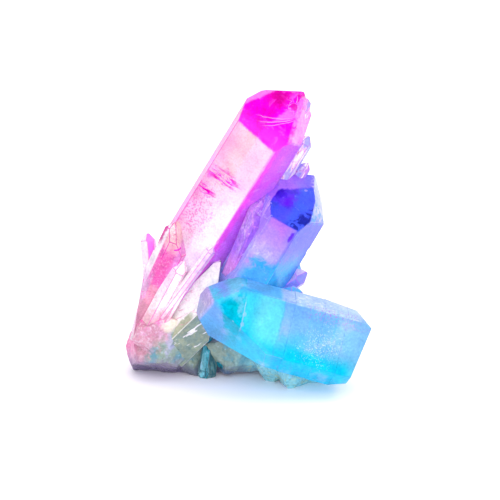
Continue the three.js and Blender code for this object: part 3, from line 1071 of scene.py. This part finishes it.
def rose_film(film):
    """The small point beside the tall one: hot pink front, peach near its tip, white left side."""
    right, along = film.parts()
    edge, chips = film.facet(EDGE), film.facet(CHIP)
    grit, cloudy, patchy = film.noises((3, 8), (0.5, 5), (1.3, 6, 0.6))
    front = film.face(0, soft=0.2).either(right.rise(-1.9, -1.7))
    tip = film.face(TIP, soft=0.4)
    left = film.face(5, soft=0.15).either(film.face(TIP + 5))
    side = film.face(1, soft=0.3)
    slash = (along - right * 0.55 - 13.35).line(0.22)
    dash = slash * film.spot((0.72, -2.2, 13.7), (0.7, 1.4, 0.8), soft=0.2)
    front.coat("rose")
    front.coat("cream", (along + cloudy * 4 + right * 0.4).rise(11.5, 14.5) * 0.95)
    front.coat("cream", (along + cloudy * 4).rise(7.5, 5.5) * 0.6)
    front.coat("mauve", (right + patchy * 0.8).rise(0.4, 1.2) * 0.8)
    front.coat("cream_pale", along.rise(13, 16) * 0.4)
    front.coat("blush", grit.rise(0.55, 0.66) * 0.55)
    front.coat("magenta", grit.rise(0.42, 0.34) * 0.4)
    tip.coat("white", patchy.rise(0, 0.2) * 0.6)
    side.coat("wisteria", patchy.rise(0.02, 0.2) * 0.5)
    side.coat("cream", (along + patchy * 2).rise(12, 13.5) * 0.8)
    dash.coat("magenta")
    left.coat("petal", (along + patchy * 4).rise(9, 6) * 0.75)
    left.coat("pink", patchy.rise(0, 0.12) * along.rise(9, 6) * 0.8)
    left.coat("crimson", (right + patchy * 0.5).rise(-2.1, -2.4) * along.rise(12, 14) * 0.9)
    tip.coat("crimson", (patchy - 0.06).line(0.03) * 0.5)
    film.coat("apricot", (along + patchy * 2).rise(4, 2) * 0.9)
    chips.coat("white", 0.5)
    edge.coat("crimson_light", along.rise(2, 4) * 0.9)
    film.quartz(0.6 + cloudy * 0.8, grit, tint=(1, 0.6, 0.8), through=(1, 0.8, 0.95))


def violet_film(film):
    """The middle point: indigo tip, lilac front that fades through white to sky blue below."""
    right, along = film.parts()
    edge, chips = film.facet(EDGE), film.facet(CHIP)
    grit, cloudy, patchy = film.noises((3, 8), (0.35, 5), (1, 7, 1))
    tip = film.face(TIP, soft=0.3, wander=patchy * 0.4)
    crown = film.face(TIP + 1, soft=0.4)
    rim = film.face(TIP + 3, soft=0.5)
    front = film.face(0, soft=0.6)
    side = film.face(1, soft=0.6)
    flank = film.face(5, soft=0.4)
    streaks = film.noise(0.9, stretch=(1, 1, 7), detail=4)
    cracks = (film.noise(0.6, stretch=(1, 1, 5), detail=2) - 0.5).line(0.01)
    ragged = along + cloudy * 4 + patchy * 2 - right * 0.4
    pale = film.spot((-2.8, -4.4, 9.2), (4.8, 6, 2.8), soft=1, wander=cloudy * 1.5 + patchy * 0.4)
    haze = (right * 0.4 + along + cloudy * 5).rise(13.5, 11)
    glow = film.spot((-2.6, -4.8, 13.4), (2.8, 6, 2.6), soft=1, wander=patchy)
    blotch = film.spot((-2.1, -4.9, 7.4), (2.2, 2, 1.1), soft=0.7, wander=patchy * 1.8)
    shadow = film.spot((-4.1, -1.5, 18.6), (1.3, 1.6, 1.2), soft=0.6, wander=patchy * 1.6)
    second = film.spot((-2.6, -1.8, 17.8), (1.2, 1.6, 0.9), soft=0.7, wander=patchy * 1.6)
    brim = (right - along * 0.9 + patchy * 2).rise(-15.6, -14.6)
    dash = film.spot((0.45, -4.9, 13.7), (0.42, 1.2, 1.3), soft=0.6, wander=patchy * 1.6)
    flank.coat("periwinkle", (along + patchy * 2).rise(12, 14.5) * 0.5)
    flank.coat("wisteria", streaks.rise(0.46, 0.6) * 0.6)
    flank.coat("lavender", streaks.rise(0.56, 0.66) * 0.5)
    front.coat("mauve", glow * 0.22)
    front.coat("periwinkle", (right + cloudy * 2).rise(-1.6, 2) * 0.85)
    haze.coat("thistle", 0.7)
    pale.coat("lavender", 0.9)
    pale.coat("white", patchy.rise(0, 0.25) * 0.6)
    film.coat("sky", ragged.rise(8.8, 6.6))
    film.coat("periwinkle", (right + patchy * 1.5).rise(-4.6, -5.4) * along.rise(11, 7) * 0.7)
    film.coat("ice", ragged.rise(8, 5) * patchy.rise(0.06, 0.2) * 0.5)
    film.coat("cyan", ragged.rise(7.4, 5) * patchy.rise(-0.1, -0.2) * 0.6)
    blotch.coat("cyan_deep", 0.85)
    film.coat("thistle", (right + patchy * 1.5).rise(-2.8, -4.6) * along.rise(8, 5) * 0.75)
    side.coat("azure", 0.5)
    side.coat("sky", ragged.rise(11, 7))
    side.coat("cyan", ragged.rise(8, 6) * 0.5)
    film.coat("sky", film.face(TIP + 2, soft=0.4) * patchy.rise(0.05, -0.1) * 0.7)
    side.coat("lilac", patchy.rise(0.05, 0.25) * 0.3)
    side.coat("azure", patchy.rise(-0.02, -0.2) * 0.4)
    side.coat("azure", right.rise(3.6, 4.8) * along.rise(13, 10) * 0.6)
    crown.coat("indigo_light", (right + cloudy * 4).rise(-3.6, -0.6) * 0.85)
    crown.coat("lilac", patchy.rise(0.05, 0.25) * 0.3)
    rim.coat("white", patchy.rise(-0.05, 0.2) * 0.5)
    tip.coat("indigo")
    tip.coat("azure", (right + patchy * 2.4).rise(-2.4, -0.8))
    tip.coat("periwinkle", patchy.rise(0.1, 0.25) * 0.55)
    tip.coat("indigo", patchy.rise(-0.1, -0.25) * 0.6)
    tip.coat("navy", (cloudy + right * 0.05).rise(-0.05, -0.25) * 0.6)
    tip.coat("azure", (along + patchy * 2).rise(17.6, 16.6) * 0.6)
    tip.coat("violet_deep", second * 0.8)
    tip.coat("ink", shadow)
    tip.coat("navy", brim * patchy.rise(-0.06, 0.06))
    dash.coat("violet_deep", 0.9)
    flank.coat("white", cracks * 0.25)
    chips.coat("lavender", 0.4)
    edge.coat("lavender", (1 - tip) * 0.25)
    film.quartz(0.6 + cloudy * 0.8, grit, tint=(0.05, 0.1, 1), gloss=0.1, through=(0.8, 0.8, 1))


def shade_film(film):
    """The narrow point behind: lilac, streaked white along its length, orchid at its foot."""
    along = film.parts()[1]
    edge = film.facet(EDGE)
    grit, patchy = film.noises((3, 8), (0.9, 6, 1))
    streaks = film.noise(1, stretch=(1, 1, 7), detail=4)
    cracks = (film.noise(0.7, stretch=(1, 1, 6), detail=2) - 0.5).line(0.012)
    film.coat("orchid", (along + patchy * 6).rise(14, 8) * 0.8)
    film.coat("wisteria", streaks.rise(0.46, 0.6) * 0.45)
    film.coat("mauve", (along + patchy * 3).rise(12, 9) * 0.8)
    film.coat("lavender", (along + patchy * 2).rise(8, 6) * 0.5)
    film.coat("violet", streaks.rise(0.46, 0.36) * 0.5)
    film.coat("mauve", patchy.rise(0.05, 0.25) * 0.25)
    cracks.coat("white", 0.3)
    edge.coat("mauve", 0.3)
    film.quartz(0.55 + patchy * 0.6, grit, tint=(0.8, 0.5, 1), gloss=0.1, through=(0.95, 0.8, 1))


def aqua_film(film):
    """The low point: teal tip face, then panels of cyan, lilac-blue and pale aqua with white specks."""
    high, along = film.parts()
    edge, chips = film.facet(EDGE), film.facet(CHIP)
    grit, cloudy, patchy = film.noises((2.6, 8), (0.3, 5), (0.9, 7, 0.8))
    front = film.face(0, soft=1.2, wander=patchy * 0.8)
    upper = film.face(1, soft=0.3)
    under = film.face(5, soft=0.9, wander=patchy * 0.8)
    tip = film.face(TIP, soft=0.5, wander=patchy * 0.7)
    crown = film.face(TIP + 1, soft=0.9)
    blunt = film.face(TIP + 3, soft=0.5)
    low_tip = film.face(TIP + 5, soft=0.9)
    step = along + patchy * 0.7
    tall = high + cloudy * 4
    fine = film.noise(5.5, detail=3)
    speckled = film.spot((0.6, -4.4, 4.6), (4.6, 4, 4.8), soft=0.9, wander=patchy * 2)
    specks = fine.rise(0.56, 0.62) * speckled
    deep = (high - along * 0.085 + 2.8 + patchy * 1.4).line(1.9) * (along + patchy * 2).rise(12, 8.5)
    inner = (along - high * 0.5 + patchy * 1.2).rise(20.9, 20.2)
    rim = along + patchy * 0.3 - high * 0.05
    teal = inner * rim.rise(17.9, 18.1) * (1 - crown) * (high + patchy).rise(-3.2, -1.8)
    glow = film.spot((-1.2, -3.8, 16.9), (4.8, 3, 2.1), soft=0.9, wander=patchy)
    glow = glow.either(along.rise(15, 17) * front * 0.7)
    bands = (step - 11.8).line(0.25) + (step - 7.2).line(0.2) + (step - 3).line(0.25)
    film.coat("cyan_pale", (along + cloudy * 3).rise(11, 13) * 0.9)
    film.coat("cyan_light", (along + cloudy * 4 - high * 0.6).rise(13, 19) * 0.7)
    front.coat("sky_light", step.rise(12, 11.5) * 0.9)
    front.coat("periwinkle_light", step.rise(12, 11.5) * tall.rise(0, 2.5) * 0.8)
    front.coat("powder", step.rise(7.3, 6.9) * 0.7)
    front.coat("mist", step.rise(3.2, 2.8) * 0.5)
    film.coat("cyan", tall.rise(0.4, -2.4) * along.rise(18, 15) * 0.85)
    under.coat("sky_light", patchy.rise(0, 0.2) * 0.5)
    upper.coat("ice", (along + cloudy * 3).rise(13, 11.8))
    upper.coat("white", patchy.rise(0.05, 0.2) * along.rise(13, 11) * 0.4)
    upper.coat("sky_light", along.rise(12, 13))
    low_tip.coat("sky_light")
    low_tip.coat("periwinkle_light", (high + patchy).rise(-2, 0.6) * 0.5)
    low_tip.coat("cyan_light", along.rise(20, 18) * 0.8)
    crown.coat("periwinkle", (high + patchy * 2).rise(2.8, 4.6) * 0.8)
    crown.coat("cyan_pale", (along - high * 0.67 + patchy * 1.6).rise(19, 17) * 0.8)
    glow.coat("cyan", 0.85)
    teal.coat("teal_bright")
    teal.coat("cyan", patchy.rise(0.06, 0.2) * 0.4)
    teal.coat("teal", patchy.rise(0.04, -0.12) * 0.5)
    teal.coat("cyan", high.rise(0.6, -1.2) * 0.8)
    tip.coat("sky", (high + patchy * 2).rise(4.8, 6) * 0.8)
    film.coat("ice", (rim - 17.9).line(0.12) * high.rise(4.4, 3.8) * high.rise(-1, 0) * 0.6)
    front.coat("lilac", high.rise(3.6, 4.8) * fine.rise(0.55, 0.61) * along.rise(9, 7))
    blunt.coat("lavender")
    blunt.coat("ice", (high + patchy * 2).rise(1.6, 0) * 0.5)
    blunt.coat("white", patchy.rise(0.05, 0.2) * 0.5)
    film.coat("lavender", cloudy.rise(0.06, 0.2) * 0.3)
    film.coat("ice", patchy.rise(0.16, 0.3) * 0.3)
    bands.coat("sky", front * 0.35)
    deep.coat("cyan", 0.9)
    specks.coat("white", 0.45)
    film.coat("mist", (along + patchy).rise(0.2, -1.6) * 0.5)
    chips.coat("ice", 0.4)
    edge.coat("ice", along.rise(16, 12) * 0.3)
    edge.coat("periwinkle", high.rise(5.2, 5.7) * along.rise(13, 11) * 0.8)
    film.quartz(0.62 + cloudy * 0.7, grit, tint=(0, 0.7, 1), gloss=0.14, through=(0.7, 0.97, 1))


def ledger_film(film):
    """The blade at the foot: white upper side, grey-green front with short glints."""
    right, along = film.parts()
    edge = film.facet(EDGE)
    grit, cloudy, patchy = film.noises((2.6, 8), (0.5, 5), (1.1, 6, 0.8))
    front = film.face(0, soft=0.15)
    upper = film.face(5, soft=0.15)
    glints = film.noise(1.8, detail=2, place=film.slanted((1, -0.25), 5))
    lit = film.spot((0.8, -4.2, 0.4), (2.6, 2, 4), soft=1)
    hairs = (film.noise(0.8, detail=3, place=film.slanted((1, -0.25), 6)) - 0.5).line(0.012)
    front.coat("lichen", patchy.rise(-0.05, 0.15) * 0.6)
    front.coat("moss_light", patchy.rise(-0.08, -0.22) * 0.5)
    front.coat("lavender", (cloudy + along * 0.03).rise(0.1, 0.3) * 0.5)
    front.coat("white", (glints + lit * 0.1).rise(0.63, 0.67))
    upper.coat("cream_pale", (along + patchy * 3).rise(1.5, -2.5) * 0.5)
    upper.coat("lichen", (right + patchy * 0.8).rise(-2, -1.75) * along.rise(3, 1.2) * 0.9)
    upper.coat("rose", hairs * (along + cloudy * 6).rise(8, 3) * 0.6)
    edge.coat("white", 0.6)
    film.quartz(0.7 + cloudy * 0.5, grit)


def sprig_film(film):
    """The sprigs: bright faces with rosy or lilac edges."""
    along, high = film.parts()
    edge = film.facet(EDGE)
    grit, cloudy, patchy = film.noises((2.2, 6), (0.5, 5), (1.4, 6, 0.6))
    hairs = (film.noise(0.8, detail=4, distortion=0.6) - 0.5).line(0.012)
    fibres = film.noise(2.2, stretch=(1, 1, 6), detail=4, distortion=0.4)
    low = high.rise(9, 7.5)
    upper = high.rise(27, 30) * along.rise(2, 4)
    stripes = film.noise(1, detail=2, place=film.slanted((-0.85, 0.53), 4))
    rim = film.mix(along.rise(-10, -4), "rose", "lilac")
    # Low down the rims turn dark teal, partly painted shade in the crevice.
    rim = film.mix(high.rise(10, 8), rim, "moss")
    film.coat(rim, patchy.rise(0.08, 0.24) * 0.35)
    film.coat("white", (high + patchy * 3).rise(17.5, 14) * along.rise(-5, -8) * (1 - low) * 0.8)
    upper.coat("periwinkle", stripes.rise(0.5, 0.56) * 0.8)
    upper.coat("white", stripes.rise(0.44, 0.38) * 0.7)
    upper.coat("rose_grey", (stripes - 0.47).line(0.02) * 0.8)
    film.coat("cream_pale", (high + patchy * 3).rise(13, 10) * along.rise(-6, -10) * 0.5)
    low.coat("cyan_pale", fibres.rise(0.54, 0.62) * 0.4)
    # Dark teal fibres low down, partly painted shade in the crevice.
    low.coat("moss", fibres.rise(0.52, 0.4) * 0.9)
    low.coat("ice", fibres.rise(0.64, 0.68) * 0.5)
    film.coat("apricot", (high + patchy * 3).rise(13.8, 11.4) * along.rise(-11.5, -13.5) * 0.8)
    hairs.coat(rim, 0.5)
    edge.coat(rim, 0.8)
    film.quartz(0.75 + cloudy * 0.5, grit, through=(1, 0.92, 0.97))


def matrix_skin(film):
    """The matrix: a rosy boulder at the left, sage in the middle, teal under the low point, painted
    shade below.
    """
    along, high = film.parts()
    grit, cloudy, patchy = film.noises((2.4, 8), (0.35, 5), (0.8, 7, 0.8))
    wander = along + cloudy * 5 + patchy * 3
    speck = film.noise(3, detail=3)
    crumbs = (high - along * 0.4 + patchy * 5).rise(15, 18)
    boulder = wander.rise(-10.6, -12.4) * (high - along * 1.45 + cloudy * 8 + patchy * 6).rise(26.5, 30)
    foot = wander.rise(-3, 1.5)
    film.coat("lichen", patchy.rise(0.02, 0.2) * 0.6)
    film.coat("moss_light", patchy.rise(-0.06, -0.2) * 0.8)
    film.coat("teal_light", cloudy.rise(0, -0.14) * 0.7)
    foot.coat("lagoon", 0.9)
    # Pale patches on the lumps under the low point, partly a painted highlight.
    foot.coat("pale_patch_and_highlight", patchy.rise(0.02, 0.16) * 0.7)
    foot.coat("teal", grit.rise(0.44, 0.36) * 0.3)
    film.coat("lavender", cloudy.rise(0.08, 0.2) * 0.5)
    boulder.coat("salmon")
    boulder.coat("blush_grey", patchy.rise(0, 0.14) * 0.7)
    boulder.coat("rose_grey", patchy.rise(-0.04, -0.2) * 0.4)
    boulder.coat("pink", (high + cloudy * 6 + patchy * 6).rise(9, 12) * 0.7)
    # Painted shade: lavender-grey on the boulder's underside.
    boulder.coat("boulder_underside_shade", (high + cloudy * 5).rise(4.5, 1.5) * 0.8)
    boulder.coat("rose", (along + cloudy * 4).rise(-18, -20) * 0.5)
    boulder.coat("rose", crumbs * speck.rise(0.52, 0.6) * 0.6)
    boulder.coat("rosewhite", crumbs * speck.rise(0.46, 0.38) * 0.4)
    boulder.coat("rose_grey", speck.rise(0.54, 0.62) * 0.2)
    boulder.coat("rosewhite", speck.rise(0.44, 0.36) * 0.2)
    film.coat(
        "cream_pale", film.spot((-12.6, -4.2, 10.2), (2.2, 4, 1.7), soft=0.6, wander=patchy) * 0.8
    )
    film.coat("ice", grit.rise(0.62, 0.7) * 0.3)
    # Painted shade: darker on the lower part of the boulder.
    film.coat("boulder_low_shade", (along + cloudy * 6).rise(-9.5, -12) * (high + patchy * 4).rise(5, 2.4) * 0.75)
    # Painted shade: dark along the bottom of the matrix, near the floor.
    film.coat("matrix_bottom_shade", (high + patchy * 2).rise(3, 0.8) * along.rise(5, -3) * 0.7)
    film.quartz(0.85 + cloudy * 0.4, grit, gloss=0.16)


# In the order of the numbers MAIN to MATRIX.
FILMS = (main_film, rose_film, violet_film, shade_film, aqua_film, ledger_film, sprig_film, matrix_skin)


# --- Stage ---

PAPER = {
    "Base Color": (0.9, 0.86, 0.93, 1),
    "Roughness": 0.7,
    "Emission Color": (0.9, 0.88, 1, 1),
    "Emission Strength": 0.05,
}
# The lamps, in metres and watts: name, place, side and power. They face LAMP_TARGET.
LAMPS = (("top", (0.4, 0.15, 1.1), 1.2, 6), ("front", (0.15, -0.9, 0.45), 0.9, 5))
LAMP_TARGET = Vector((0, 0, 0.02))
SKY_STRENGTH = 1.2


class AURA_OT_stage(Operator):
    """Sets the pale floor, the soft light and the camera"""

    bl_idname = "aura.stage"
    bl_label = "Set the stage"
    bl_options = {"REGISTER", "UNDO"}

    def execute(self, context):
        sizes = context.scene.aura_sizes
        deselect_all()
        bpy.ops.mesh.primitive_plane_add(size=sizes.floor_side, location=(0, 0, 0))
        floor = context.object
        floor.name = "floor"
        paper = Finish("pale_paper")
        paper.close(paper.node("ShaderNodeBsdfPrincipled", None, PAPER))
        floor.data.materials.append(paper.material)
        floor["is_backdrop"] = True
        for lamp in LAMPS:
            self.light(*lamp)
        self.sky(context)
        self.camera(context, sizes)
        context.scene.view_settings.view_transform = "Standard"
        return {"FINISHED"}

    def light(self, name, place, side, power):
        """A square soft light."""
        turned = (LAMP_TARGET - Vector(place)).to_track_quat("-Z", "Y").to_euler()
        bpy.ops.object.light_add(type="AREA", location=place, rotation=turned)
        lamp = bpy.context.object
        lamp.name = name
        lamp.data.size = side
        lamp.data.energy = power

    def sky(self, context):
        world = bpy.data.worlds.new("studio")
        world.use_nodes = True
        backdrop = world.node_tree.nodes["Background"]
        backdrop.inputs["Color"].default_value = (1, 1, 1, 1)
        backdrop.inputs["Strength"].default_value = SKY_STRENGTH
        context.scene.world = world

    def camera(self, context, sizes):
        target = (CAMERA_TARGET - BASE_CENTRE) * MM
        rise = sizes.camera_rise
        towards = Vector((0, -math.cos(rise), math.sin(rise)))
        bpy.ops.object.camera_add(
            location=target + towards * sizes.camera_away, rotation=(math.pi / 2 - rise, 0, 0)
        )
        camera = context.object
        camera.name = "camera"
        camera.data.lens = sizes.camera_lens
        context.scene.camera = camera


class AURA_PT_cluster(Panel):
    """Lists the cluster's steps, sizes and films"""

    bl_idname = "AURA_PT_cluster"
    bl_label = "Aura Quartz Cluster"
    bl_space_type = "VIEW_3D"
    bl_region_type = "UI"
    bl_category = "Aura Quartz"

    def draw(self, context):
        layout = self.layout
        for step in STEPS:
            layout.operator(step.bl_idname)
        for group in (context.scene.aura_sizes, context.scene.aura_films):
            box = layout.box()
            for name in group.__annotations__:
                box.prop(group, name)


STEPS = (
    AURA_OT_finishes,
    AURA_OT_points,
    AURA_OT_sprigs,
    AURA_OT_matrix,
    AURA_OT_cluster,
    AURA_OT_stage,
)
CLASSES = (AURA_PG_films, AURA_PG_sizes, *STEPS, AURA_PT_cluster)


def register():
    for cls in CLASSES:
        bpy.utils.register_class(cls)
    bpy.types.Scene.aura_films = PointerProperty(type=AURA_PG_films)
    bpy.types.Scene.aura_sizes = PointerProperty(type=AURA_PG_sizes)


def unregister():
    del bpy.types.Scene.aura_sizes
    del bpy.types.Scene.aura_films
    for cls in reversed(CLASSES):
        bpy.utils.unregister_class(cls)


def main():
    register()
    bpy.ops.aura.finishes()
    bpy.ops.aura.points()
    bpy.ops.aura.sprigs()
    bpy.ops.aura.matrix()
    bpy.ops.aura.cluster()
    bpy.ops.aura.stage()
    boxes = {"cad": CAD_BOX, "visual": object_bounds()}
    plain = {name: [list(corner) for corner in box] for name, box in boxes.items()}


if __name__ == "__main__":
    main()
